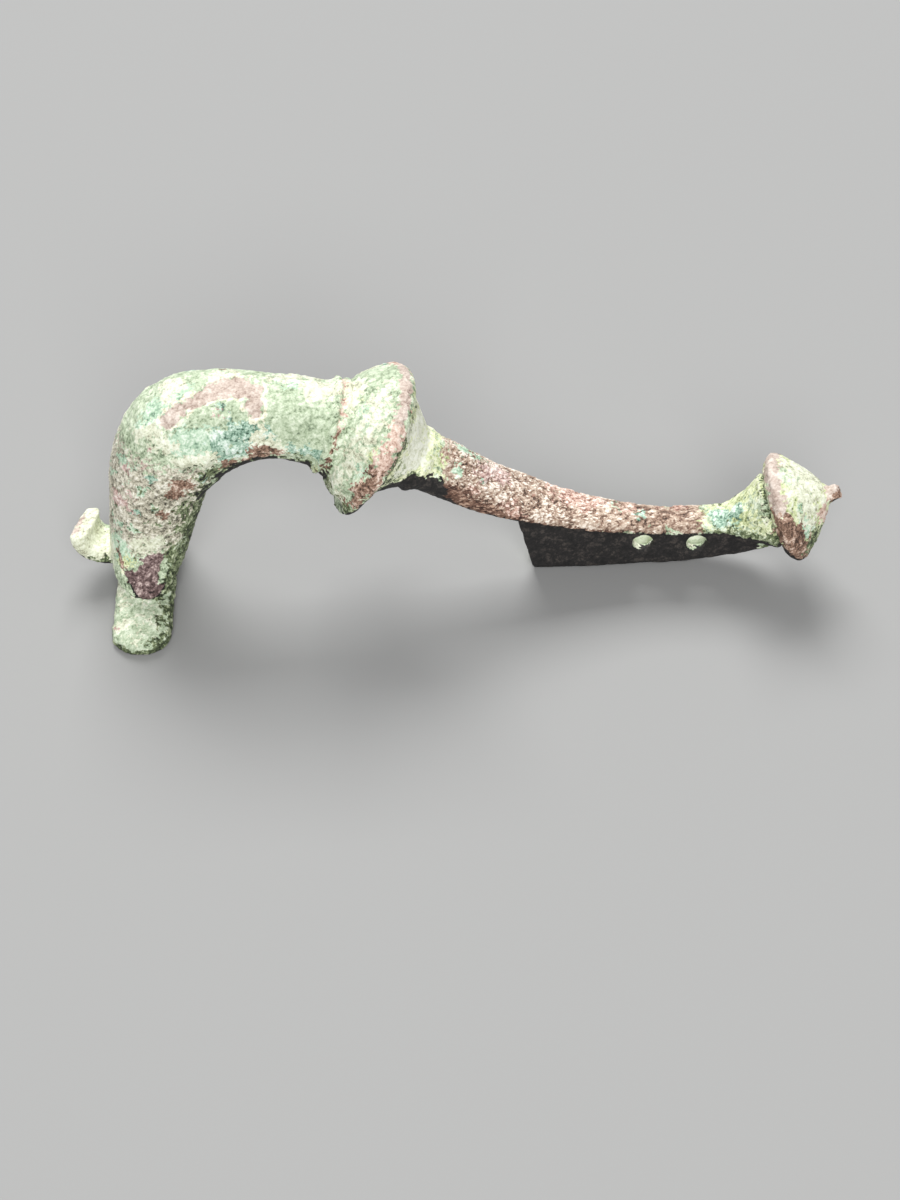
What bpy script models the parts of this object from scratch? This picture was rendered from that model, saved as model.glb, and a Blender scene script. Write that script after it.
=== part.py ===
"""Strongly profiled bow brooch of cast bronze, as it survives: the casting alone, its spring and pin lost.

The brooch lies along X with its head at -X and its foot knob at +X. It is symmetrical about Y = 0 but for
the catch, which folds to +Y, and the chord hook, which is bent askew. It stands on the two arms of its
support bar and on the heel of its catch-plate, at Z = 0. All lengths are in metres.
"""

import math

import bmesh
import bpy
from mathutils import Matrix, Vector

MM = 0.001

# Support bar across the head, which the spring was wound in front of
BAR_LENGTH = 20.3 * MM
BAR_WIDTH = 4.75 * MM
BAR_TIP_ROUND = 1.9 * MM
BAR_TIP_HEIGHT = 1.3 * MM
BAR_MIDDLE_HEIGHT = 2.1 * MM
BAR_SIDE_SHARE = 0.5
BAR_EDGE_ROUND = 0.15 * MM

# Bow: the thick leg, the shoulder and the crown, up to the collar
BOW_REACH = 19.0 * MM
BOW_RISE = 17.3 * MM
LEG_THICKNESS = 6.0 * MM
SHOULDER_THICKNESS = 9.4 * MM
CROWN_THICKNESS = 6.4 * MM
HEAD_SPREAD = 11.8 * MM
HEAD_LIP_HEIGHT = 1.9 * MM

# Waist: two fine collar ridges, the disc, and the neck with its ring
COLLAR_DIAMETER = 7.5 * MM
COLLAR_RIDGE_WIDTH = 0.55 * MM
COLLAR_RIDGE_HEIGHT = 0.2 * MM
FLARE_LENGTH = 2.2 * MM
DISC_DIAMETER = 12.9 * MM
DISC_RIM_WIDTH = 1.5 * MM
DISC_HEIGHT = 15.0 * MM
NECK_LENGTH = 3.1 * MM
NECK_DIAMETER = 5.3 * MM
RING_WIDTH = 0.8 * MM
RING_HEIGHT = 0.18 * MM

# Strip: the lower bow, round at the ring and flat over the catch-plate
STRIP_REACH = 33.9 * MM
STRIP_HEIGHT = 5.55 * MM
STRIP_WIDTH_TOP = 5.1 * MM
STRIP_WIDTH_WAIST = 2.9 * MM
STRIP_THICKNESS = 1.3 * MM
STRIP_RIDGE = 0.3

# Foot knob: a flared neck, a rim, a domed face and a nipple
KNOB_HEIGHT = 7.2 * MM
KNOB_NECK_DIAMETER = 6.3 * MM
KNOB_NECK_LENGTH = 5.6 * MM
KNOB_STEP_LENGTH = 0.7 * MM
KNOB_STEP_DEPTH = 0.3 * MM
KNOB_DIAMETER = 9.0 * MM
KNOB_RIM_WIDTH = 1.6 * MM
KNOB_RIM_ROUND = 0.5 * MM
KNOB_DOME_LENGTH = 2.5 * MM
NIPPLE_DIAMETER = 1.45 * MM
NIPPLE_LENGTH = 1.3 * MM

# Hook for the spring's chord, broken off where it turned up
HOOK_WIDTH = 3.8 * MM
HOOK_THICKNESS = 1.5 * MM
HOOK_HEIGHT = 2.85 * MM
HOOK_REACH = 5.75 * MM
HOOK_TURN_RADIUS = 1.9 * MM
HOOK_TIP_RISE = 0.5 * MM
HOOK_SKEW = 0.3
HOOK_SQUARENESS = 3.3

# Catch-plate below the strip, its lower edge folded up on the far side into a channel for the pin
PLATE_THICKNESS = 0.9 * MM
PLATE_LENGTH = 21.9 * MM
PLATE_TOE_OVERLAP = 0.5 * MM
PLATE_EDGE_LEAN = 1.8 * MM
PLATE_HEEL_LENGTH = 1.4 * MM
PLATE_TOE_RISE = 2.7 * MM
CHANNEL_WIDTH = 1.3 * MM
CHANNEL_CLOSED_WIDTH = 0.15 * MM
CHANNEL_LIP_HEIGHT = 2.3 * MM
CHANNEL_FLOOR = 0.8 * MM
CHANNEL_EDGE_ROUND = 0.1 * MM

# Two holes drilled through the catch-plate
HOLE_DIAMETER = 1.75 * MM
HOLE_HEIGHT = 3.3 * MM
HOLE_FIRST = 10.9 * MM
HOLE_SPACING = 4.45 * MM

# Smallest run between two different forms along the spine
JOINT_RUN = 0.3 * MM

# Facets round a section, points between two knots of the spine, and the squareness of a round section
SEGMENTS = 28
HOOK_SEGMENTS = 16
SPINE_SAMPLES = 16
ROUND = 2.0


def smooth_through(points, samples):
    """A Catmull-Rom curve through the points, each a tuple of equal length, as a list of tuples."""
    ends = [points[0]] + list(points) + [points[-1]]
    curve = []
    for before, start, end, after in zip(ends, ends[1:], ends[2:], ends[3:]):
        for step in range(samples):
            t = step / samples
            blend = []
            for a, b, c, d in zip(before, start, end, after):
                bend = (2 * a - 5 * b + 4 * c - d) * t**2 + (3 * b - a - 3 * c + d) * t**3
                blend.append(b + 0.5 * ((c - a) * t + bend))
            curve.append(tuple(blend))
    curve.append(tuple(points[-1]))
    return curve


class Spine:
    """The middle line of the brooch in the XZ plane, measured along its own length."""

    def __init__(self, points):
        self.points = [Vector((x, 0.0, z)) for x, z in smooth_through(points, SPINE_SAMPLES)]
        self.lengths = [0.0]
        for start, end in zip(self.points, self.points[1:]):
            self.lengths.append(self.lengths[-1] + (end - start).length)

    def length_to(self, knot):
        return self.lengths[knot * SPINE_SAMPLES]

    def length_at_x(self, x):
        nearest = min(range(len(self.points)), key=lambda i: abs(self.points[i].x - x))
        return self.lengths[nearest]

    def at(self, length):
        """(point, unit tangent) at this distance along the line, which runs on straight past its ends."""
        last = len(self.lengths) - 2
        index = max((i for i in range(last + 1) if self.lengths[i] <= length), default=0)
        start, end = self.points[index], self.points[index + 1]
        run = end - start
        point = start + run * ((length - self.lengths[index]) / run.length)
        before, after = self.points[max(index - 2, 0)], self.points[min(index + 3, last + 1)]
        return point, (after - before).normalized()


def brooch_spine():
    """Up the leg, over the crown and down through the disc, then along the strip to the foot knob."""
    leg = ((0.0, 0.02), (0.01, 0.18), (0.055, 0.44), (0.105, 0.695), (0.215, 0.895), (0.39, 0.98), (0.6, 1.0))
    points = [(BOW_REACH * x, BOW_RISE * z) for x, z in leg]
    fall = BOW_RISE - DISC_HEIGHT
    points += [(BOW_REACH * x, DISC_HEIGHT + fall * z) for x, z in ((0.74, 0.76), (0.87, 0.4))]
    disc_knot = len(points)
    drop = DISC_HEIGHT - STRIP_HEIGHT
    strip = ((0.0, 1.0), (0.125, 0.71), (0.257, 0.435), (0.392, 0.23), (0.477, 0.135), (0.566, 0.055),
             (0.68, 0.0))
    points += [(BOW_REACH + STRIP_REACH * x, STRIP_HEIGHT + drop * z) for x, z in strip]
    rise = KNOB_HEIGHT - STRIP_HEIGHT
    knob = ((0.8, 0.04), (0.91, 0.36), (1.0, 1.0), (1.13, 2.1))
    points += [(BOW_REACH + STRIP_REACH * x, STRIP_HEIGHT + rise * z) for x, z in knob]
    spine = Spine(points)
    return spine, spine.length_to(disc_knot), spine.length_to(len(points) - 2)


def bead(start, width, radius, height, steps):
    """Stations over a half-round ridge that stands on a round body."""
    rows = []
    for step in range(1, steps + 1):
        outer = radius + height * math.sin(math.pi * step / steps)
        rows.append((start + width * step / steps, outer, outer, ROUND))
    return rows


def flare(start, end, first, last, power, steps):
    """Stations over a hollow flare between two round or oval sections, each (half thickness, half width).

    A power above 1 opens late, and one below 1 opens early.
    """
    rows = []
    for step in range(steps + 1):
        t = step / steps
        thick, wide = (a + (b - a) * t**power for a, b in zip(first, last))
        rows.append((start + (end - start) * t, thick, wide, ROUND))
    return rows


def bow_stations(leg_end, crown_end):
    """The bow's sections from inside the support bar to the collar.

    Each station here and below is (length along the spine, half thickness, half width, squareness).
    """
    leg, shoulder, crown = LEG_THICKNESS / 2, SHOULDER_THICKNESS / 2, CROWN_THICKNESS / 2
    spread = HEAD_SPREAD / 2
    arch = crown_end - leg_end
    rows = (
        (0.0, leg * 0.75, spread * 0.8, 2.0),
        (HEAD_LIP_HEIGHT * 0.75, leg * 0.85, spread * 0.9, 2.0),
        (HEAD_LIP_HEIGHT * 0.95, leg * 0.97, spread * 0.99, 2.0),
        (HEAD_LIP_HEIGHT * 1.1, leg, spread, 2.0),
        (HEAD_LIP_HEIGHT * 1.3, leg, spread * 0.98, 2.0),
        (leg_end * 0.42, leg * 1.05, spread * 0.86, 2.1),
        (leg_end * 0.7, leg * 1.13, spread * 0.71, 2.15),
        (leg_end, leg * 1.22, spread * 0.67, 2.15),
        (leg_end + arch * 0.2, shoulder * 0.87, shoulder * 0.88, 2.15),
        (leg_end + arch * 0.42, shoulder * 0.98, shoulder * 0.95, 2.15),
        (leg_end + arch * 0.6, shoulder * 0.84, shoulder * 0.85, 2.2),
        (leg_end + arch * 0.8, crown, crown * 1.05, 2.2),
        (crown_end, crown * 1.06, crown * 1.08, 2.1),
    )
    return smooth_through(rows, 3)


def waist_stations(disc_at):
    """The turned forms at the waist: two collar ridges, the disc's flare and rim, the neck and its ring."""
    collar, neck = COLLAR_DIAMETER / 2, NECK_DIAMETER / 2
    shoulder = (DISC_DIAMETER - DISC_RIM_WIDTH) / 2
    rim_start = disc_at - DISC_RIM_WIDTH / 2
    rim_end = disc_at + DISC_RIM_WIDTH / 2
    flare_start = rim_start - FLARE_LENGTH
    ring_start = rim_end + NECK_LENGTH
    first_ridge = flare_start - 2 * COLLAR_RIDGE_WIDTH
    rows = [(first_ridge, collar, collar, ROUND)]
    rows += bead(first_ridge, COLLAR_RIDGE_WIDTH, collar, COLLAR_RIDGE_HEIGHT, 4)
    rows += bead(first_ridge + COLLAR_RIDGE_WIDTH, COLLAR_RIDGE_WIDTH, collar, COLLAR_RIDGE_HEIGHT, 4)
    rows += flare(flare_start, rim_start, (collar, collar), (shoulder, shoulder), 1.05, 5)[1:]
    rows += bead(rim_start, DISC_RIM_WIDTH, shoulder, DISC_RIM_WIDTH / 2, 8)
    rows += flare(rim_end, ring_start, (shoulder * 0.93, shoulder * 0.93), (neck, neck), 0.8, 6)
    rows += bead(ring_start, RING_WIDTH, neck, RING_HEIGHT, 4)
    return first_ridge, ring_start + RING_WIDTH, rows


def strip_stations(start, end):
    """The strip from the ring to the foot: round below the ring, flat and narrow over the catch-plate."""
    length = end - start
    neck, thin = NECK_DIAMETER / 2, STRIP_THICKNESS / 2
    top, waist = STRIP_WIDTH_TOP / 2, STRIP_WIDTH_WAIST / 2
    rows = (
        (start, neck * 0.84, neck * 0.92, 2.0),
        (start + length * 0.16, neck * 0.66, top * 0.96, 2.4),
        (start + length * 0.32, thin * 1.5, top, 2.9),
        (start + length * 0.46, thin * 1.1, top * 0.83, 3.0),
        (start + length * 0.6, thin, waist * 1.22, 3.0),
        (start + length * 0.76, thin, waist, 3.0),
        (start + length * 0.88, thin, waist, 3.0),
        (end, thin * 1.1, waist, 2.6),
    )
    return smooth_through(rows, 3)


def knob_stations(start, rim_at):
    """The foot: a neck that flares from the strip to a fine step, the rim, the domed face and the nipple."""
    neck, knob, nipple = KNOB_NECK_DIAMETER / 2, KNOB_DIAMETER / 2, NIPPLE_DIAMETER / 2
    first = (STRIP_THICKNESS / 2 * 1.2, STRIP_WIDTH_WAIST / 2 * 1.04)
    rim_start = rim_at - KNOB_RIM_WIDTH * 0.4
    rim_edge = knob - KNOB_RIM_ROUND
    step_start = rim_start - KNOB_STEP_LENGTH
    below_step = neck - KNOB_STEP_DEPTH
    face_start = rim_start + KNOB_RIM_WIDTH
    nipple_start = face_start + KNOB_DOME_LENGTH
    nipple_end = nipple_start + NIPPLE_LENGTH
    groove_start = step_start + JOINT_RUN / 4
    rows = flare(start + JOINT_RUN, step_start, first, (neck, neck), 1.1, 7)
    rows += flare(groove_start, rim_start, (below_step, below_step), (rim_edge, rim_edge), 1.6, 3)
    rows += bead(rim_start, KNOB_RIM_WIDTH, rim_edge, KNOB_RIM_ROUND, 8)
    rows += flare(face_start, nipple_start, (rim_edge, rim_edge), (nipple * 1.3, nipple * 1.3), 1.2, 6)[1:]
    rows.append((nipple_start + JOINT_RUN / 2, nipple, nipple, ROUND))
    rows.append((nipple_end - nipple * 0.4, nipple, nipple, ROUND))
    rows.append((nipple_end, nipple * 0.65, nipple * 0.65, ROUND))
    return rows


def superellipse(squareness, segments):
    """Points (rise, side) once round a superellipse of half size 1: 2 is a circle, and more is squarer."""
    points = []
    for step in range(segments):
        angle = 2 * math.pi * step / segments
        rise = math.copysign(abs(math.cos(angle)) ** (2 / squareness), math.cos(angle))
        side = math.copysign(abs(math.sin(angle)) ** (2 / squareness), math.sin(angle))
        points.append((rise, side))
    return points


def ring_of(point, tangent, half_thickness, half_width, squareness, ridge):
    """One cross-section square to the spine: a superellipse whose upper side rises to a low ridge."""
    outward = Vector((-tangent.z, 0.0, tangent.x))
    across = Vector((0.0, 1.0, 0.0))
    ring = []
    for rise, side in superellipse(squareness, SEGMENTS):
        rise += ridge * max(0.0, rise) * (1 - abs(side))
        ring.append(point + outward * (half_thickness * rise) + across * (half_width * side))
    return ring


def extruded_through(name, rings):
    """A closed mesh object: the first ring's face extruded to each further ring in turn."""
    mesh = bpy.data.meshes.new(name)
    shape = bmesh.new()
    start = face = shape.faces.new([shape.verts.new(point) for point in rings[0]])
    for ring in rings[1:]:
        made = bmesh.ops.extrude_face_region(shape, geom=[face])["geom"]
        if face is not start:
            bmesh.ops.delete(shape, geom=[face], context="FACES_ONLY")
        face = next(item for item in made if isinstance(item, bmesh.types.BMFace))
        for vertex, point in zip(face.verts, ring):
            vertex.co = point
    bmesh.ops.recalc_face_normals(shape, faces=shape.faces)
    shape.to_mesh(mesh)
    shape.free()
    mesh.shade_smooth()
    mesh.set_sharp_from_angle(angle=math.radians(40))
    made = bpy.data.objects.new(name, mesh)
    bpy.context.collection.objects.link(made)
    return made


def make_body(spine, disc_at, rim_at):
    """Bow, waist, strip and foot knob in one run along the spine."""
    first_ridge, ring_end, waist = waist_stations(disc_at)
    strip_end = rim_at - KNOB_NECK_LENGTH
    bow = bow_stations(spine.length_to(2), first_ridge - JOINT_RUN)
    strip = strip_stations(ring_end + JOINT_RUN, strip_end)
    knob = knob_stations(strip_end, rim_at)
    rings = []
    for stations, ridge in ((bow, 0.0), (waist, 0.0), (strip, STRIP_RIDGE), (knob, 0.0)):
        rings += [ring_of(*spine.at(at), thick, wide, square, ridge) for at, thick, wide, square in stations]
    return extruded_through("brooch_casting", rings)


def make_bar():
    """The support bar: flat below, upright at the sides, convex above and lower towards its rounded tips."""
    half = BAR_LENGTH / 2
    straight = half - BAR_TIP_ROUND
    places = [straight * step / 5 for step in range(6)]
    places += [straight + BAR_TIP_ROUND * math.sin(math.radians(angle)) for angle in (20, 40, 58, 72, 82)]
    rings = []
    for place in [-y for y in reversed(places[1:])] + places:
        past = max(0.0, abs(place) - straight) / BAR_TIP_ROUND
        width = BAR_WIDTH / 2 * math.sqrt(1 - past**2)
        height = BAR_TIP_HEIGHT + (BAR_MIDDLE_HEIGHT - BAR_TIP_HEIGHT) * (1 - (abs(place) / half) ** 1.3)
        side = height * BAR_SIDE_SHARE
        edge = min(BAR_EDGE_ROUND, width / 3)
        ring = [(-width + edge, 0.0), (width - edge, 0.0), (width, edge)]
        for step in range(9):
            angle = math.pi * step / 8
            ring.append((width * math.cos(angle), side + (height - side) * math.sin(angle)))
        ring.append((-width, edge))
        rings.append([Vector((x, place, z)) for x, z in ring])
    return extruded_through("support_bar", rings)


def make_hook():
    """The chord hook: a band that leaves the head's outer side and turns up to its broken end."""
    half = HOOK_THICKNESS / 2
    turn_x = -HOOK_REACH + half + HOOK_TURN_RADIUS
    line = [(0.0, HOOK_HEIGHT, 0.0), (turn_x, HOOK_HEIGHT, 0.0)]
    for angle in range(15, 91, 15):
        turn = math.radians(angle)
        line.append((
            turn_x - HOOK_TURN_RADIUS * math.sin(turn),
            HOOK_HEIGHT + HOOK_TURN_RADIUS * (1 - math.cos(turn)),
            turn,
        ))
    line.append((turn_x - HOOK_TURN_RADIUS, HOOK_HEIGHT + HOOK_TURN_RADIUS + HOOK_TIP_RISE, math.pi / 2))
    rings = []
    for index, (x, z, turn) in enumerate(line):
        middle = Vector((x, 0.0, z))
        normal = Vector((math.sin(turn), 0.0, math.cos(turn))) * half
        across = Vector((HOOK_SKEW * index / (len(line) - 1), 1.0, 0.0)) * (HOOK_WIDTH / 2)
        outline = superellipse(HOOK_SQUARENESS, HOOK_SEGMENTS)
        rings.append([middle + normal * rise + across * side for rise, side in outline])
    return extruded_through("chord_hook", rings)


def plate_section(height, bottom, fold):
    """The catch-plate's section in (y, z): the upright plate, the channel's floor and its far lip.

    fold runs from 1, the full channel, to 0, where the channel has closed up against the plate.
    """
    half = PLATE_THICKNESS / 2
    inner = half + CHANNEL_CLOSED_WIDTH + (CHANNEL_WIDTH - CHANNEL_CLOSED_WIDTH) * fold
    outer = inner + PLATE_THICKNESS * (0.35 + 0.5 * fold)
    floor = bottom + CHANNEL_FLOOR
    edge = CHANNEL_EDGE_ROUND
    lip = floor + 2 * edge + (CHANNEL_LIP_HEIGHT - CHANNEL_FLOOR) * fold
    corner = CHANNEL_FLOOR * 0.9
    return [
        (-half, height), (-half, bottom + corner), (-half + corner * 0.3, bottom + corner * 0.3),
        (-half + corner, bottom), (outer - corner, bottom), (outer - corner * 0.3, bottom + corner * 0.3),
        (outer, bottom + corner), (outer, lip - edge), (outer - edge, lip),
        (inner + edge, lip), (inner, lip - edge / 2), (inner, floor + edge / 2),
        (inner - edge / 2, floor), (half + edge / 2, floor), (half, floor + edge / 2), (half, height),
    ]


def make_plate(spine, start):
    """The catch-plate, hung from the strip, its heel on the ground and its toe rising to the foot knob."""
    foot_length = PLATE_LENGTH - PLATE_EDGE_LEAN
    heel = PLATE_HEEL_LENGTH / foot_length
    steps = 12
    rings = []
    for along in [0.0] + [heel + (1 - heel) * step / steps for step in range(steps + 1)]:
        foot_x = start + PLATE_EDGE_LEAN + foot_length * along
        height = spine.at(spine.length_at_x(foot_x))[0].z - STRIP_THICKNESS * 0.2
        past_heel = max(0.0, along - heel) / (1 - heel)
        bottom = PLATE_TOE_RISE * (0.42 * past_heel + 0.58 * past_heel**5)
        fold = min(1.0, (1 - along) / 0.18) ** 0.5
        ring = []
        for y, z in plate_section(height, bottom, fold):
            up = (z - bottom) / (height - bottom)
            lean = PLATE_EDGE_LEAN * (1 - along) * up**1.6
            ring.append(Vector((foot_x - lean, y, z)))
        rings.append(ring)
    return extruded_through("catch_plate", rings)


def make_hole(name, x):
    """The cutter for a hole, which passes the plate and stops short of the channel's lip."""
    reach = PLATE_THICKNESS / 2 + CHANNEL_WIDTH * 0.6
    mesh = bpy.data.meshes.new(name)
    shape = bmesh.new()
    turned = Matrix.Translation((x, -0.25 * reach, HOLE_HEIGHT)) @ Matrix.Rotation(math.pi / 2, 4, "X")
    bmesh.ops.create_cone(
        shape, cap_ends=True, segments=20, radius1=HOLE_DIAMETER / 2, radius2=HOLE_DIAMETER / 2,
        depth=2.5 * reach, matrix=turned,
    )
    shape.to_mesh(mesh)
    shape.free()
    made = bpy.data.objects.new(name, mesh)
    bpy.context.collection.objects.link(made)
    return made


def join(body, other, operation):
    """Adds or takes away another shape, which then serves only as a hidden guide."""
    boolean = body.modifiers.new(f"{operation.lower()} {other.name}", "BOOLEAN")
    boolean.operation = operation
    boolean.solver = "EXACT"
    boolean.object = other
    other.hide_render = True
    other.display_type = "WIRE"


def bronze():
    """Leaded bronze under a malachite and cuprite patina, dull all over."""
    material = bpy.data.materials.new("patinated_bronze")
    material.use_nodes = True
    shader = material.node_tree.nodes["Principled BSDF"]
    shader.inputs["Base Color"].default_value = (0.27, 0.36, 0.25, 1.0)
    shader.inputs["Roughness"].default_value = 0.72
    shader.inputs["Metallic"].default_value = 0.15
    return material


def centre_on_origin(frame, body):
    """Moves the whole brooch along X and Y until its box stands centred over the origin."""
    bpy.context.view_layer.update()
    evaluated = body.evaluated_get(bpy.context.evaluated_depsgraph_get())
    corners = [evaluated.matrix_world @ Vector(corner) for corner in evaluated.bound_box]
    for axis in (0, 1):
        places = [corner[axis] for corner in corners]
        frame.location[axis] -= (min(places) + max(places)) / 2


def build_brooch():
    for old in list(bpy.data.objects):
        bpy.data.objects.remove(old)
    spine, disc_at, rim_at = brooch_spine()
    body = make_body(spine, disc_at, rim_at)
    plate_start = spine.at(rim_at)[0].x - PLATE_TOE_OVERLAP - PLATE_LENGTH
    plate = make_plate(spine, plate_start)
    holes = [make_hole(f"catch_hole_{i + 1}", plate_start + HOLE_FIRST + HOLE_SPACING * i) for i in (0, 1)]
    for hole in holes:
        join(plate, hole, "DIFFERENCE")
    pieces = [make_bar(), make_hook(), plate]
    for piece in pieces:
        join(body, piece, "UNION")
    body.data.materials.append(bronze())
    frame = bpy.data.objects.new("brooch_frame", None)
    bpy.context.collection.objects.link(frame)
    for piece in [body, *pieces, *holes]:
        piece.parent = frame
    centre_on_origin(frame, body)


build_brooch()
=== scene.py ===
import math

import bpy
import numpy as np
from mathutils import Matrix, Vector, noise


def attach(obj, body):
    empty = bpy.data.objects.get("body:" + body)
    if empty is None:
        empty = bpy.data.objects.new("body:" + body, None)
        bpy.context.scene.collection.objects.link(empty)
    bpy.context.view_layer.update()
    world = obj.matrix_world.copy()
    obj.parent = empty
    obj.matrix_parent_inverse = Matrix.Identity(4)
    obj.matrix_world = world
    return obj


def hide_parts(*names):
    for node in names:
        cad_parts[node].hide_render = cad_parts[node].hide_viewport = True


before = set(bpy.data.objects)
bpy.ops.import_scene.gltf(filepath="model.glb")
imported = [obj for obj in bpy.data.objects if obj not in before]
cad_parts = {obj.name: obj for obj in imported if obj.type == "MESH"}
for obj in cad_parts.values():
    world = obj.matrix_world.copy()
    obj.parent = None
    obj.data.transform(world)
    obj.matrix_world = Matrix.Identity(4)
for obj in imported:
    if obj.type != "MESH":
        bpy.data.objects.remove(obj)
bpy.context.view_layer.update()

# The casting. Head, bow, disc, strip, catch-plate and foot knob are one piece of bronze, cast and filed. In
# the ground its skin turned to a grainy crust of green copper minerals, which has flaked off in places down
# to red-brown cuprite. Sizes and places in this section are in millimetres.
MM = 0.001
CRUST_VOXEL = 0.172
MERGE_GAP = 0.001
SMOOTHING, SMOOTHING_PASSES = 0.5, 3

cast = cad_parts["brooch_casting"]
brooch = bpy.data.objects.new("brooch", cast.data.copy())
bpy.context.collection.objects.link(brooch)
bpy.ops.object.select_all(action="DESELECT")
brooch.select_set(True)
bpy.context.view_layer.objects.active = brooch
bpy.ops.object.mode_set(mode="EDIT")
bpy.ops.mesh.select_all(action="SELECT")
bpy.ops.mesh.remove_doubles(threshold=MERGE_GAP * MM)
bpy.ops.object.mode_set(mode="OBJECT")

skin = brooch.modifiers.new("even skin", "REMESH")
skin.mode = "VOXEL"
skin.voxel_size = CRUST_VOXEL * MM
skin.use_smooth_shade = True
rounding = brooch.modifiers.new("facets rounded", "SMOOTH")
rounding.factor = SMOOTHING
rounding.iterations = SMOOTHING_PASSES
for modifier in (skin, rounding):
    bpy.ops.object.modifier_apply(modifier=modifier.name)

# Where each point of the skin lies and which way it faces
crust = brooch.data
at = np.empty(len(crust.vertices) * 3)
crust.vertices.foreach_get("co", at)
at = at.reshape(-1, 3) / MM
x, y, z = at.T
facing = np.empty(len(crust.vertices) * 3, np.float32)
crust.vertex_normals.foreach_get("vector", facing)
facing = facing.reshape(-1, 3).astype(float)
facing_x, facing_y, facing_z = facing.T


def grain(size, read=noise.noise, stretch=(1.0, 1.0, 1.0), seed=0.0):
    """A noise read at every point of the skin, its lumps about size across, drawn out along X, Y and Z."""
    places = at / (size * np.array(stretch)) + seed
    return np.array([read(Vector(place)) for place in places])


def crumb(place):
    """Rounded crumbs of two sizes with sharp gaps: 1 on a crumb's top, 0 in a gap."""
    return min(1.0, 1.9 * abs(noise.noise(place)) + 0.9 * abs(noise.noise(place * 2.1)))


def balls(*spots):
    """How deep each point lies inside the nearest ball. A spot is (x, y, z, radius)."""
    return np.max([radius - np.linalg.norm(at - spot, axis=1) for *spot, radius in spots], axis=0)


def turned_about(middle, axis):
    """Each point's place along a turned form's axis and its distance from it."""
    along = (at - middle) @ np.array(axis)
    return along, np.linalg.norm(at - middle - along[:, None] * np.array(axis), axis=1)


def every(*depths):
    """Depth inside all of these at once."""
    return np.minimum.reduce(depths)


def any_of(*depths):
    """Depth inside the deepest of these."""
    return np.maximum.reduce(depths)


def ramp(depth):
    """0 outside, rising to 1 at a depth of 1 and more."""
    return np.clip(depth, 0, 1)


def border(depth, blend):
    """0 outside and 1 inside, over a border blend wide."""
    return np.clip(depth / blend + 0.5, 0, 1)


def bell(distance, width):
    """1 at no distance, falling off to both sides."""
    return np.exp(-(distance / width) ** 2)


# Noises over the skin: its lumps, two finer ones that also make patches ragged, and two broad and strong ones
# that choose where large patches lie
LUMP_SIZE, RAGGED_SIZE, FINE_SIZE = 3.4, 0.95, 0.36
BROAD_SIZE, BROAD_TOO_SIZE, BROAD_STRENGTH = 4.2, 3.1, 4
lumps = grain(LUMP_SIZE)
ragged = grain(RAGGED_SIZE, seed=11.0)
fine = grain(FINE_SIZE, seed=23.0)
broad = BROAD_STRENGTH * grain(BROAD_SIZE, seed=37.0)
broad_too = BROAD_STRENGTH * grain(BROAD_TOO_SIZE, seed=53.0)
edge = 0.55 * ragged + 0.22 * fine

# The turned forms, each by its middle and its axis, which points to the foot
collar_along, collar_out = turned_about((-9.95, 0.0, 16.2), (0.944, 0.0, -0.33))
disc_along, disc_out = turned_about((-6.75, 0.0, 15.0), (0.871, 0.0, -0.491))
knob_along, knob_out = turned_about((27.15, 0.0, 7.2), (0.93, 0.0, 0.367))

# Zones of the casting, each as the depth inside it
HEAD_END, LEG_BOTTOM, LEG_TOP, ARM_TOP = -19.3, 5.6, 15.6, 2.2
STRIP_START, STRIP_END = -1.3, 20.7
PLATE_START, PLATE_END, PLATE_TOP = 4.2, 25.3, 5.4
HOLES_AT, HOLE_REACH = ((15.2, 3.3), (19.65, 3.3)), 0.95
strip = every(x - STRIP_START, STRIP_END - x)
plate = every(x - PLATE_START, PLATE_END - x, PLATE_TOP + 0.3 * np.maximum(0, 11 - x) - z)
hole_walls = any_of(*(HOLE_REACH - np.hypot(x - hole_x, z - hole_z) for hole_x, hole_z in HOLES_AT))
strip_top = every(strip, -plate)
foot = every(x - STRIP_END, -plate)
head = HEAD_END - x
leg = every(head, LEG_TOP - z, z - LEG_BOTTOM)
arms = every(head, ARM_TOP - z)
near = -y
far = every(y - 2.4, -plate)
# Faces turned down, where shade is painted
painted_shade_below = 1.6 * (-facing_z - 0.42)
disc_face = every(disc_along + 3.0, -0.7 - disc_along, 7.0 - disc_out, -8.0 + z)
neck = every(disc_along - 0.9, -1.4 - x)
pin_channel = every(plate, y - 0.5)

# The tongue-shaped end of the leg's skin over each arm, with a gap under its lip, and the groove behind the
# knob's rim
TONGUE_TIP_X, TONGUE_TIP_Z, TONGUE_HALF_WIDTH, TONGUE_RISE = -25.1, 2.2, 1.9, 1.6
tongue = z - TONGUE_TIP_Z - TONGUE_RISE * ((x - TONGUE_TIP_X) / TONGUE_HALF_WIDTH) ** 2
tongue_side = every(head, abs(y) - 3.0)
lip_gap = every(0.22 - abs(tongue + 0.12), tongue_side, 2.6 - abs(x - TONGUE_TIP_X))
knob_groove = 0.16 - abs(knob_along + 0.92)

# The minerals, each as a depth inside its patches, negative outside them. Patches are zones of the casting
# with ragged edges, or rows of balls (x, y, z, radius) along a patch that has a shape of its own.
minerals = {}
# Earth and fine grit, on the leg and in a spot on the near side of the bow
minerals["earth"] = any_of(
    0.4 * leg + 0.3 * ragged + 0.1,
    balls((-13.8, -3.2, 17.8, 0.9), (-12.6, -3.0, 18.2, 0.9)) + edge - 0.2,
)
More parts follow.
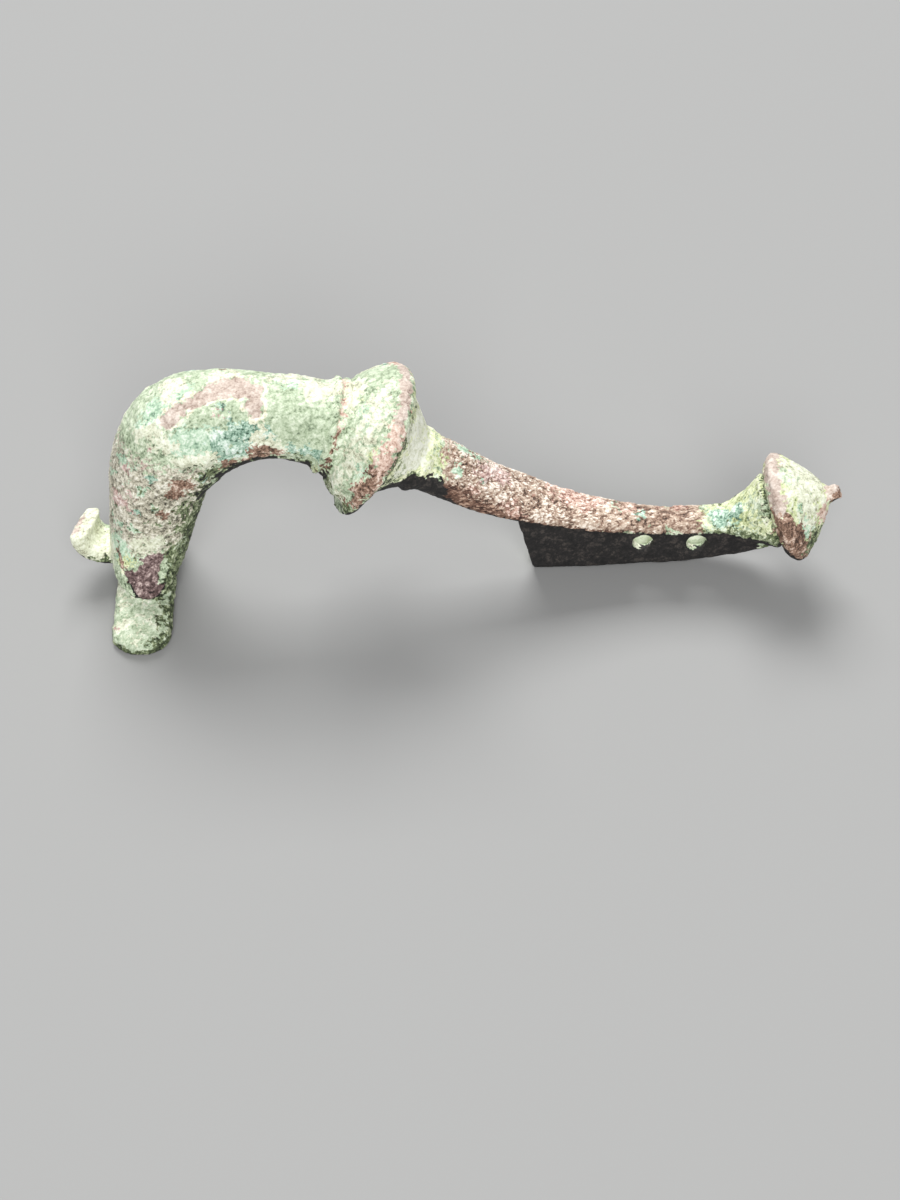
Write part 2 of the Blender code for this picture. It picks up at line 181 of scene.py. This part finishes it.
# The strip's rough brown skin, redder in places, with painted shade on its flanks near the disc and
# underneath, and with sparse dark specks towards the foot
minerals["bark"] = 0.6 * strip_top + 0.5 * ragged
minerals["red_bark"] = every(strip_top, 0.5 * broad_too + 0.5 * ragged - 0.4)
minerals["dark_bark_and_painted_shade"] = every(strip_top, any_of(
    1.4 * (0.38 - 0.5 * ramp(x - 4) - facing_z),
    0.35 * np.clip(x - 14, 0, 2) - 1.0,
) + 0.4 * ragged)
# Smooth pale malachite on the crown, the bow's end, the disc's face, the knob, the arms and the hook
minerals["pale"] = any_of(
    every(x + 15.4, -9.6 - x, z - 13.6) + 0.6 * edge,
    disc_face + 0.6 * edge,
    every(knob_along - 0.4, 31 - x) + 0.4 * edge,
    every(arms, z - 0.7) + 0.4 * edge,
    every(x + 25, -13 - x, z - 19.2) + 0.5 * edge,
    every(head, 7.0 - z, -28.4 - x, z - 3.4) + 0.4 * edge,
    0.6 * every(-23.6 - x, z - 16.0, x + 29) + 0.6 * edge - 0.4,
)
# Yellow-green on the foot and the neck, and in spots at the collar, disc, leg and hook
minerals["yellow"] = any_of(
    every(0.5 * foot, 1.2 + broad_too) + 0.5 * edge - 0.1,
    every(0.8 * neck, z - 12.5) + 0.5 * edge + 0.2,
    balls(
        (-11.2, -3.8, 14.2, 1.2), (-9.8, -4.6, 13.2, 1.0), (-27.2, -3.8, 4.8, 1.2), (-30.4, -0.6, 4.4, 1.3),
        (-7.9, -0.5, 19.8, 1.2), (-6.4, -4.9, 17.6, 1.0),
    ) + edge - 0.3,
)
# Blue-green bloom in soft spots from the crown to the knob, and over the far side
minerals["mint"] = any_of(
    balls(
        (-23.3, -1.7, 19.4, 1.5), (-24.0, -2.4, 18.3, 1.3), (-22.2, -1.0, 20.1, 1.1),
        (-21.4, -0.2, 20.5, 0.8), (-21.4, -4.0, 17.9, 1.5), (-20.0, -4.0, 17.8, 1.5),
        (-18.8, -3.9, 17.9, 0.9), (-27.6, -3.0, 5.7, 1.3), (-12.4, 0.6, 20.4, 1.0), (-13.8, 0.9, 20.6, 0.9),
        (-6.9, -1.9, 19.4, 0.8), (-6.7, -2.9, 18.9, 0.9), (-7.0, -4.0, 17.8, 0.9), (-7.4, -4.9, 16.4, 0.9),
        (0.3, 0.6, 13.3, 0.8), (1.2, 0.6, 12.8, 0.7), (2.0, 0.7, 12.2, 0.7), (2.8, 1.0, 11.6, 0.5),
        (0.2, -1.5, 12.8, 0.5), (13.2, 0.6, 7.0, 0.6), (22.0, -0.6, 6.6, 0.8), (23.2, -1.4, 6.5, 0.7),
        (28.1, -2.6, 9.6, 0.9), (28.3, -3.2, 8.6, 1.0), (28.6, -3.4, 7.6, 1.0), (29.0, -2.9, 6.2, 0.8),
    ) + 0.8 * edge - 0.1,
    every(far, broad_too - 0.9) + 0.5 * edge,
    every(0.5 * leg, 1.6 * ragged - 0.6),
)
# Granular turquoise on the near side of the bow, in small spots elsewhere, and on the far side
minerals["turquoise"] = any_of(
    balls(
        (-18.4, -3.8, 17.7, 1.0), (-17.4, -3.6, 18.3, 1.2), (-16.2, -3.3, 18.5, 1.2),
        (-15.2, -3.1, 18.4, 0.9), (-18.0, -3.9, 16.8, 0.9), (-16.7, -3.6, 17.3, 1.2),
        (-15.4, -3.4, 17.5, 0.9), (-14.2, -3.3, 17.0, 0.7), (-14.6, -3.1, 17.8, 0.9),
        (-13.0, -3.3, 16.9, 0.6), (-11.8, -3.4, 16.5, 0.6), (-10.9, -3.5, 16.3, 0.5),
        (-18.4, -2.1, 20.3, 0.6), (-24.1, -4.1, 14.4, 0.5), (-25.6, -3.8, 10.3, 0.5),
        (-19.9, -4.1, 14.3, 0.5), (2.3, -1.1, 11.5, 0.45), (15.3, -0.3, 6.5, 0.3), (25.2, -3.2, 6.4, 0.6),
        (22.0, -0.7, 6.5, 1.0), (23.2, -0.6, 7.4, 0.8),
    ) + edge,
    every(far, broad_too - 1.5) + edge,
)
# Painted shade in dark green where little light falls: the leg's inner side, downward faces and the disc's
# back edge; and dark green in the grooves
minerals["moss_and_painted_shade"] = any_of(
    every(head, 1.2 * (facing_x - 0.35), 14.5 - z, x + 28) + 0.6 * ragged - 0.1,
    every(foot, 6.0 - z + 0.35 * (np.minimum(x, 25) - 22)) * 0.6 + 0.5 * ragged,
    every(disc_along - 0.4, disc_out - 4.6, 1.3 - disc_along, 18.6 - z) + 0.25 * ragged,
    every(1.5 * (-0.2 - facing_z), -strip, z - 2.4, 24 - x, x + 28) + 0.6 * ragged - 0.1,
    balls((-3.4, -2.9, 13.2, 1.2), (-4.6, -3.4, 13.2, 1.0)) + 0.8 * edge - 0.4,
    every(arms, -8.6 - y, 0.7 - z) + 0.3 * ragged,
    every(head, 3.1 - z, -28.6 - x) + 0.4 * ragged,
    balls(
        (-8.5, -5.6, 12.4, 0.8), (-7.4, -5.9, 12.2, 0.9), (-19.2, -4.0, 14.8, 0.7),
        (-18.3, -3.9, 15.2, 0.6),
    ) + edge,
    0.8 * knob_groove + 0.2 * ragged,
)
# Cream on high places, on the upper disc, neck, knob and hook, and on the walls of holes and channel. On high
# places it is partly a painted highlight, and on the neck, the hook, the holes and the channel it is painted
# light where shade falls
minerals["cream_and_painted_light"] = any_of(
    balls(
        (-22.0, -4.3, 16.3, 0.5), (-21.2, -4.3, 16.4, 0.6), (-20.3, -4.2, 16.5, 0.6),
        (-19.4, -4.1, 16.6, 0.6), (-19.6, -4.1, 15.9, 0.6), (-25.8, -3.9, 6.7, 0.8),
        (-24.8, -4.0, 6.8, 0.8), (-24.0, -4.0, 7.0, 0.6), (-8.2, -5.9, 13.8, 0.5), (-9.0, -4.9, 12.9, 1.0),
        (-8.4, -5.3, 12.3, 0.8), (2.2, -0.1, 11.9, 0.5), (-15.2, -2.9, 18.9, 0.4), (-21.7, 0.3, 20.5, 0.7),
        (-18.6, 0.9, 20.8, 0.9), (-17.4, 1.3, 20.7, 0.8), (-27.4, -8.0, 1.6, 0.8), (-10.8, 0.2, 20.1, 1.4),
        (-12.6, 1.4, 20.0, 0.8), (-8.0, 0.4, 20.0, 1.4), (-8.2, -1.0, 19.4, 0.9), (29.0, 0.4, 9.9, 1.5),
        (28.2, 1.4, 10.4, 1.2),
    ) + edge,
    balls((-30.6, -0.2, 4.9, 2.0), (-30.2, -1.2, 4.2, 1.7), (-29.4, -1.8, 4.0, 1.4)) + edge + 0.3,
    every(0.5 * disc_face, 1.5 * broad_too + 0.8) + 0.5 * edge - 0.3,
    every(arms, z - 0.9) * 0.3 + 0.8 * edge - 0.3,
    every(knob_along - 0.6, 30.8 - x, z - 8) * 0.3 + 0.7 * edge - 0.1,
    0.9 * (broad - 1.1 + 0.4 * np.minimum(0, z - 17)) + edge,
    every(neck, z - 13.2) * 0.6 + 0.5 * edge - 0.4,
    every(0.10 - abs(knob_along + 1.25), z - 4.5) + 0.15 * fine,
    every(hole_walls, 2 * (0.6 - abs(facing_y))),
    every(pin_channel, 2 * (-facing_y - 0.3)),
)
# Thin pink bloom at the start of the strip, on the bow and on the leg
minerals["pink"] = any_of(
    balls(
        (2.6, -0.4, 11.6, 1.5), (3.6, 0.2, 10.7, 1.5), (-18.6, -2.4, 20.1, 0.8), (-24.2, -3.6, 16.9, 0.5),
        (-26.2, -3.0, 14.2, 0.6), (-24.6, -3.8, 15.4, 0.6), (-27.9, -8.2, 1.4, 0.6),
    ) + edge,
    every(0.8 * leg, 0.8 * broad_too + 1.4 * ragged - 1.3),
) - 0.5
# Copper-brown metal where the crust is gone: on the crown, on the rims, on the nipple and the hook
minerals["copper"] = any_of(
    balls(
        (-22.7, -2.8, 19.1, 0.6), (-22.1, -2.5, 19.5, 0.6), (-21.4, -2.1, 19.9, 0.6),
        (-20.7, -1.8, 20.2, 0.7), (-19.9, -1.4, 20.5, 0.8), (-19.0, -0.9, 20.7, 1.0),
        (-18.0, -0.6, 20.8, 1.2), (-17.0, -0.4, 20.8, 1.3), (-16.0, -0.7, 20.6, 1.1),
        (-15.7, -1.8, 20.2, 0.8), (-15.6, -2.5, 19.8, 0.6),
    ) + 0.8 * edge,
    every(far, broad - 1.3) + 0.8 * edge,
    every(disc_out - 5.7, disc_along + 0.65, 0.4 - disc_along, z - 18.4) + 0.4 * edge,
    every(knob_out - 3.8, knob_along + 0.55, 0.75 - knob_along, z - 9.4) + 0.5 * edge,
    balls(
        (31.3, -0.2, 9.3, 1.2), (-31.5, 0.4, 5.9, 0.9), (-31.5, -0.8, 5.7, 0.7), (-31.5, 1.3, 5.7, 0.8),
    ) + 0.5 * edge,
)
# The pale broken edge of the crust around the metal on the crown
minerals["rim"] = every(0.10 - abs(minerals["copper"] + 0.12) + 0.2 * fine, -14 - x, z - 15)
# The metal in a warmer tone: lower on the disc's rim, in the collar's groove and on the knob
minerals["peach"] = any_of(
    every(disc_out - 5.6, disc_along + 0.75, 0.45 - disc_along, 19.6 - z, z - 14.6) + 0.6 * edge,
    every(0.09 - abs(collar_along), z - 17.2, collar_out - 2.0) + 0.15 * ragged,
    balls((29.9, -1.6, 8.0, 1.0), (30.2, -1.2, 7.4, 0.9)) + 0.8 * edge - 0.3,
)
# Brown cuprite: under the bow, on the leg, lowest on both rims and along the tongue's edge
minerals["rust"] = any_of(
    balls(
        (-21.8, -4.3, 13.7, 0.9), (-21.2, -4.2, 13.4, 0.7), (-22.2, -4.1, 12.7, 0.8),
        (-23.5, -4.0, 10.1, 0.4), (-18.3, -3.8, 15.5, 0.5), (-17.4, -3.7, 15.5, 0.6),
        (-16.5, -3.6, 15.7, 0.6), (-15.8, -3.5, 16.4, 0.7), (-15.0, -3.4, 16.4, 0.8),
        (-14.2, -3.3, 16.3, 0.6), (27.2, -4.3, 7.9, 1.4), (27.8, -4.3, 6.6, 1.3), (26.6, -3.9, 9.1, 0.8),
        (31.3, -0.7, 8.6, 0.8),
    ) + edge,
    every(disc_out - 5.6, disc_along + 0.9, 0.4 - disc_along, 16.8 - z, z - 12.6, near) + 0.8 * edge - 0.1,
    every(0.12 - abs(collar_along), 18.2 - z, collar_out - 2.0) + 0.15 * ragged,
    every(knob_out - 3.7, knob_along + 0.6, 0.8 - knob_along, 9.6 - z) + 0.9 * edge,
    every(0.5 - abs(tongue - 0.4), tongue_side, -25.2 - x, x + 28.8) + 0.2 * ragged,
    every(far, broad - broad_too - 2.6) + edge,
)
# The purple-brown tip of the tongue
minerals["umber"] = every(balls(
    (-26.8, -4.6, 3.8, 0.8), (-25.8, -5.1, 3.0, 1.1), (-24.8, -5.6, 2.5, 1.1), (-25.2, -4.8, 3.9, 1.1),
    (-24.7, -4.4, 4.9, 0.8), (-24.3, -4.2, 5.4, 0.5),
) + 0.7 * edge, tongue + 0.1)
# Black dirt and painted shade on the near side of the plate; painted shade under the neck and on downward
# faces, and a painted shadow in the gap under the tongue's lip
minerals["soil_and_painted_shade"] = any_of(
    every(plate, near + 0.2, -hole_walls),
    every(plate, near + 0.2, 2 * (-facing_y - 0.6)),
    balls(
        (-4.4, -2.2, 10.9, 1.4), (-4.6, -3.0, 12.0, 1.5), (-3.2, -2.6, 12.0, 1.4), (-2.0, -2.3, 11.8, 1.2),
        (-3.2, -2.0, 10.7, 1.3), (-2.0, -1.8, 10.6, 1.2), (-9.2, -4.8, 11.4, 0.7),
    ) + edge,
    painted_shade_below + 0.5 * ragged,
    # a painted shadow in the gap under the tongue's lip
    3.0 * lip_gap,
)


def inside(mineral, blend=0.3):
    """How fully each point lies in a mineral's patches."""
    return border(minerals[mineral], blend)


# Grains: crumbs on most of the casting, smaller ones on the earthy leg, and long wrinkles on the strip. They
# stand high where the crust is thick and granular, and low in dirt and on smooth mineral.
CRUMB_SIZE, SMALL_CRUMB_SIZE, WRINKLE_WIDTH, WRINKLE_STRETCH = 0.58, 0.40, 0.34, (2.6, 1.0, 0.8)
crumbs = grain(CRUMB_SIZE, read=crumb)
small_crumbs = grain(SMALL_CRUMB_SIZE, read=crumb, seed=3.0)
wrinkles = grain(WRINKLE_WIDTH, read=crumb, stretch=WRINKLE_STRETCH, seed=5.0)
tops = crumbs + inside("earth", 1.0) * (small_crumbs - crumbs)
tops += ramp(strip_top) * (wrinkles - tops)
rough = 0.5 + 0.5 * any_of(*(inside(mineral) for mineral in ("turquoise", "earth", "rust", "moss_and_painted_shade")))
rough += ramp(strip_top) * (1 - rough)
rough *= (1 - 0.7 * inside("soil_and_painted_shade")) * (1 - 0.6 * inside("mint")) * (1 - 0.5 * inside("cream_and_painted_light"))

# How far each point stands out of the filed surface: first the crust's own lumps and grains
LUMP_HEIGHT, UNEVENNESS, GRAIN_HEIGHT, GRIT_HEIGHT = 0.08, 0.05, 0.20, 0.07
relief = LUMP_HEIGHT * lumps + UNEVENNESS * ragged
relief = relief + rough * (GRAIN_HEIGHT * (tops - 0.5) + GRIT_HEIGHT * fine)

# Then the minerals that lie thick, the copper-brown places where they are gone, and two raised places on the
# near side of the bow
MINERAL_THICKNESS, RIM_HEIGHT, COPPER_DEPTH = 0.05, 0.04, 0.11
FLAKE_HEIGHT, FLAKE = 0.10, ((-18.6, -2.4, 20.1, 1.2), (-18.9, -3.0, 19.5, 0.9))
RIDGE_HEIGHT, RIDGE = 0.20, ((-21.6, -4.3, 16.3, 0.7), (-20.7, -4.2, 16.5, 0.7), (-19.6, -4.1, 16.4, 0.8))
relief += (
    MINERAL_THICKNESS * inside("turquoise") + MINERAL_THICKNESS * inside("cream_and_painted_light")
    + RIM_HEIGHT * inside("rim", 0.1)
)
relief -= COPPER_DEPTH * inside("copper")
relief += FLAKE_HEIGHT * ramp(2 * balls(*FLAKE) + edge)
relief += RIDGE_HEIGHT * ramp(2 * balls(*RIDGE) + edge)

# Last the collar's fine mouldings and the edges that corrosion swelled or opened. All of it fades out at the
# ground that the brooch stands on.
COLLAR_RIDGE, COLLAR_GROOVE = 0.15, 0.18
TONGUE_THICKNESS, LIP_GAP_DEPTH = 0.28, 0.3
DISC_FLANK_SWELL, DISC_TIP_SWELL = 0.8, 0.15
KNOB_RIM_SWELL, KNOB_GROOVE_DEPTH = 0.16, 0.22
relief += ramp(z - 13.4) * COLLAR_RIDGE * bell(abs(collar_along) - 0.42, 0.2)
relief -= COLLAR_GROOVE * bell(collar_along, 0.14)
relief += TONGUE_THICKNESS * every(border(tongue, 0.15), ramp((2.2 - tongue) / 1.6), ramp(tongue_side))
relief -= LIP_GAP_DEPTH * border(lip_gap, 0.15)
relief += DISC_FLANK_SWELL * every(ramp((-y - 1.5) / 2), bell(disc_along + 1.3, 0.9), ramp((16 - z) / 2))
relief += DISC_TIP_SWELL * every(ramp((-y - 3) / 1.5), bell(disc_along - 0.1, 0.6), ramp((13.5 - z) / 1.5))
relief += KNOB_RIM_SWELL * bell(knob_along - 0.1, 0.5) * ramp(knob_out - 3.2)
relief -= KNOB_GROOVE_DEPTH * border(knob_groove, 0.15)
relief *= ramp(z / 0.4)
placed = (at + facing * relief[:, None]) * MM
crust.vertices.foreach_set("co", placed.ravel())
crust.update()

# The patina reads the minerals and the tops of the grains. Behind the disc and inside the pin channel, where
# shade falls, painted light makes the crust bright right into its gaps, and it dulls along the strip.
tops += np.clip(any_of(0.4 * every(neck, z - 12.5), pin_channel), 0, 0.7)
tops -= 0.25 * ramp((x - 11) / 4) * ramp(strip_top)
for name, depth in {**minerals, "tops": tops}.items():
    crust.attributes.new(name, "FLOAT", "POINT").data.foreach_set("value", depth.astype(np.float32))


def linear(colour):
    """An sRGB hex colour as linear RGBA."""
    channels = (int(colour[i:i + 2], 16) / 255 for i in (1, 3, 5))
    return [c / 12.92 if c <= 0.04045 else ((c + 0.055) / 1.055) ** 2.4 for c in channels] + [1.0]


def add(nodes, kind, settings=(), links=(), output=0):
    """Adds a shader node, sets its properties and sockets, links its inputs, and gives one of its outputs."""
    node = nodes.new(kind)
    for key, value in dict(settings).items():
        if isinstance(key, str) and hasattr(node, key):
            setattr(node, key, value)
        else:
            node.inputs[key].default_value = value
    for key, source in dict(links).items():
        nodes.id_data.links.new(source, node.inputs[key])
    return node.outputs[output]


# The patina: how far a mineral's grains are scattered across its border, in millimetres, and its colour from
# the gaps between its grains to their tops, which paints shade into the gaps and light onto the tops. Each
# lies over the ones before it. It is dull and has no metal left in its surface.
PATINA = {
    "malachite": (0.0, "#36422c", "#98a98a", "#cbd8ba", "#f1f8e4"),
    "earth": (1.3, "#24211b", "#9a9582", "#d8d3bf", "#faf7ea"),
    "bark": (0.6, "#20120d", "#927664", "#cebba8", "#fcf4e8"),
    "red_bark": (1.0, "#240f0a", "#9b7363", "#d9baaa", "#fdece2"),
    # the dark bark also paints shade on the strip's flanks and underside
    "dark_bark_and_painted_shade": (0.9, "#100705", "#4c3328", "#7b5c4c", "#bd9f8a"),
    "pale": (0.9, "#74836a", "#a9b999", "#c7d4b8", "#e1e9d3"),
    "yellow": (1.4, "#5a6838", "#bcc691", "#dfe6bb", "#f6f8d8"),
    "mint": (1.1, "#557560", "#a8c6a9", "#cae0c6", "#edf6e8"),
    "turquoise": (0.7, "#1e3a2c", "#7fa28c", "#bfd8c4", "#f4fcf5"),
    # the cream also paints highlights on upper faces and light into shaded places
    "cream_and_painted_light": (1.0, "#929078", "#d0d3b8", "#e6e9d2", "#f8faeb"),
    "pink": (1.3, "#5a3f38", "#b3938a", "#dcc4ba", "#fbeee6"),
    # the dark green is mostly painted shade
    "moss_and_painted_shade": (0.9, "#12160b", "#414c31", "#7c8962", "#d2dab8"),
    "copper": (0.5, "#927d72", "#bba89b", "#cfc0b4", "#e6dacf"),
    "rim": (0.15, "#aaa685", "#dfdec4", "#f2f1dc", "#fffff2"),
    "peach": (0.8, "#775e50", "#c3a190", "#e0c8b8", "#f6e8dc"),
    "rust": (0.9, "#1c100b", "#6b5141", "#a3836f", "#e8d3c2"),
    "umber": (0.35, "#160c0c", "#543f3d", "#8a7471", "#d6c2bb"),
    # the black soil is also painted shade and a painted shadow
    "soil_and_painted_shade": (0.5, "#080707", "#151312", "#211e1d", "#443e39"),
}
COLOUR_STOPS = (0.0, 0.33, 0.66, 1.0)
BORDER_BLEND = 0.05
SPECKLE_SIZE, STREAK_SIZE, SCATTER_SIZE, BLOTCH_SIZE = 0.18, 0.28, 0.34, 1.3
SCATTER_REACH = 2.5
STREAK_STRETCH = (0.5, 1.0, 1.0)
STREAK_CONTRAST, STREAK_BASE = 2.2, 0.375
TOPS_SHARE, SPECKLE_SHARE, BLOTCH_SHARE, DARKENING = 0.6, 2.1, 0.9, -1.33
GRAIN_BUMP = 0.09
ROUGHNESS = 0.75

patina = bpy.data.materials.new("patinated_bronze")
patina.use_nodes = True
nodes = patina.node_tree.nodes
shader = nodes["Principled BSDF"]
place = add(nodes, "ShaderNodeTexCoord", output="Object")

# Specks all over, but on the strip fine dark streaks that run along it, where a stretched noise crosses its
# middle
speckle = add(nodes, "ShaderNodeTexNoise", {
    "Scale": 1 / (SPECKLE_SIZE * MM), "Detail": 4.0, "Roughness": 0.7,
}, {"Vector": place})
stretched = add(nodes, "ShaderNodeVectorMath", {"operation": "MULTIPLY", 1: STREAK_STRETCH}, {0: place})
streaks = add(nodes, "ShaderNodeTexNoise", {
    "Scale": 1 / (STREAK_SIZE * MM), "Detail": 3.0, "Roughness": 0.6,
}, {"Vector": stretched})
streaks = add(nodes, "ShaderNodeMath", {"operation": "SUBTRACT", 1: 0.5}, {0: streaks})
streaks = add(nodes, "ShaderNodeMath", {"operation": "ABSOLUTE"}, {0: streaks})
streaks = add(nodes, "ShaderNodeMath", {
    "operation": "MULTIPLY_ADD", 1: STREAK_CONTRAST, 2: STREAK_BASE,
}, {0: streaks})
on_strip = add(nodes, "ShaderNodeAttribute", {"attribute_name": "bark"}, output="Fac")
speckle = add(nodes, "ShaderNodeMix", {}, {0: on_strip, 2: speckle, 3: streaks})
scatter = add(nodes, "ShaderNodeTexNoise", {
    "Scale": 1 / (SCATTER_SIZE * MM), "Detail": 3.0,
}, {"Vector": place})
blotch = add(nodes, "ShaderNodeTexNoise", {
    "Scale": 1 / (BLOTCH_SIZE * MM), "Detail": 3.0,
}, {"Vector": place})

# The tone, from 0 in a gap to 1 on a top, picks each mineral's colour: painted shade in gaps, painted light
# on tops
tone = add(nodes, "ShaderNodeAttribute", {"attribute_name": "tops"}, output="Fac")
tone = add(nodes, "ShaderNodeMath", {"operation": "MULTIPLY_ADD", 1: TOPS_SHARE, 2: DARKENING}, {0: tone})
tone = add(nodes, "ShaderNodeMath", {"operation": "MULTIPLY_ADD", 1: SPECKLE_SHARE}, {0: speckle, 2: tone})
tone = add(nodes, "ShaderNodeMath", {"operation": "MULTIPLY_ADD", 1: BLOTCH_SHARE}, {0: blotch, 2: tone})
colour = None
for mineral, (spread, *hexes) in PATINA.items():
    shades = nodes.new("ShaderNodeValToRGB")
    for _ in hexes[2:]:
        shades.color_ramp.elements.new(0.5)
    for element, stop, shade in zip(shades.color_ramp.elements, COLOUR_STOPS, hexes):
        element.position = stop
        element.color = linear(shade)
    patina.node_tree.links.new(tone, shades.inputs["Fac"])
    if colour is None:
        colour = shades.outputs["Color"]
        continue
    depth = add(nodes, "ShaderNodeAttribute", {"attribute_name": mineral}, output="Fac")
    mixed = add(nodes, "ShaderNodeMath", {
        "operation": "MULTIPLY_ADD", 1: SCATTER_REACH * spread,
    }, {0: scatter, 2: depth})
    share = add(nodes, "ShaderNodeMapRange", {
        "interpolation_type": "SMOOTHSTEP",
        "From Min": SCATTER_REACH / 2 * spread - BORDER_BLEND,
        "From Max": SCATTER_REACH / 2 * spread + BORDER_BLEND,
    }, {"Value": mixed})
    colour = add(nodes, "ShaderNodeMix", {"data_type": "RGBA"}, {
        0: share, 6: colour, 7: shades.outputs["Color"],
    }, 2)
patina.node_tree.links.new(colour, shader.inputs["Base Color"])
shader.inputs["Roughness"].default_value = ROUGHNESS
bump = add(nodes, "ShaderNodeBump", {"Strength": 1.0, "Distance": GRAIN_BUMP * MM}, {"Height": speckle})
patina.node_tree.links.new(bump, shader.inputs["Normal"])

crust.materials.clear()
crust.materials.append(patina)
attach(brooch, "root")
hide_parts("brooch_casting")

# The floor: a wide pale sheet, smooth and dull, at the height that the brooch stands on. From here on lengths
# are in metres.
FLOOR_SIDE = 3.0
FLOOR_COLOUR, FLOOR_ROUGHNESS = "#969695", 0.9
bpy.ops.object.select_all(action="DESELECT")
bpy.ops.mesh.primitive_plane_add(size=FLOOR_SIDE, location=(0, 0, 0))
floor = bpy.context.active_object
floor.name = "floor"
sheet = bpy.data.materials.new("pale_card")
sheet.use_nodes = True
sheet.node_tree.nodes["Principled BSDF"].inputs["Base Color"].default_value = linear(FLOOR_COLOUR)
sheet.node_tree.nodes["Principled BSDF"].inputs["Roughness"].default_value = FLOOR_ROUGHNESS
floor.data.materials.append(sheet)

# The light: two soft square panels above the brooch, one behind it and a weaker one in front, and a pale room
# all round. Each panel is where it stands, its side, and its power in watts.
PANELS = {
    "window": (Vector((-0.14, 0.86, 1.10)), 0.80, 23.0),
    "fill": (Vector((0.05, -1.10, 0.86)), 0.80, 18.0),
}
ROOM_COLOUR, ROOM_LIGHT = "#f4f5f8", 0.36
for name, (stand, side, power) in PANELS.items():
    bpy.ops.object.light_add(type="AREA", location=stand, rotation=stand.to_track_quat("Z", "Y").to_euler())
    panel = bpy.context.active_object
    panel.name = name
    panel.data.size = side
    panel.data.energy = power
room = bpy.data.worlds.new("room")
room.use_nodes = True
room.node_tree.nodes["Background"].inputs["Color"].default_value = linear(ROOM_COLOUR)
room.node_tree.nodes["Background"].inputs["Strength"].default_value = ROOM_LIGHT
bpy.context.scene.world = room
bpy.context.scene.view_settings.view_transform = "Standard"

# The camera: in front and above, looking down at 46.5 degrees. Its lens and sensor, in millimetres, give the
# photograph's long side of 1200 pixels a focal length of 2600.
CAMERA_AIM, CAMERA_DISTANCE = Vector((-0.4, -3.8, 0.0)) * MM, 216.7 * MM
CAMERA_ELEVATION = math.radians(46.5)
CAMERA_SENSOR, CAMERA_LENS = 36.0, 78.0
back = Vector((0.0, -math.cos(CAMERA_ELEVATION), math.sin(CAMERA_ELEVATION)))
bpy.ops.object.camera_add(
    location=CAMERA_AIM + back * CAMERA_DISTANCE, rotation=(math.pi / 2 - CAMERA_ELEVATION, 0.0, 0.0),
)
camera = bpy.context.active_object
camera.data.sensor_width = CAMERA_SENSOR
camera.data.lens = CAMERA_LENS
camera.data.clip_start = 0.01
bpy.context.scene.camera = camera
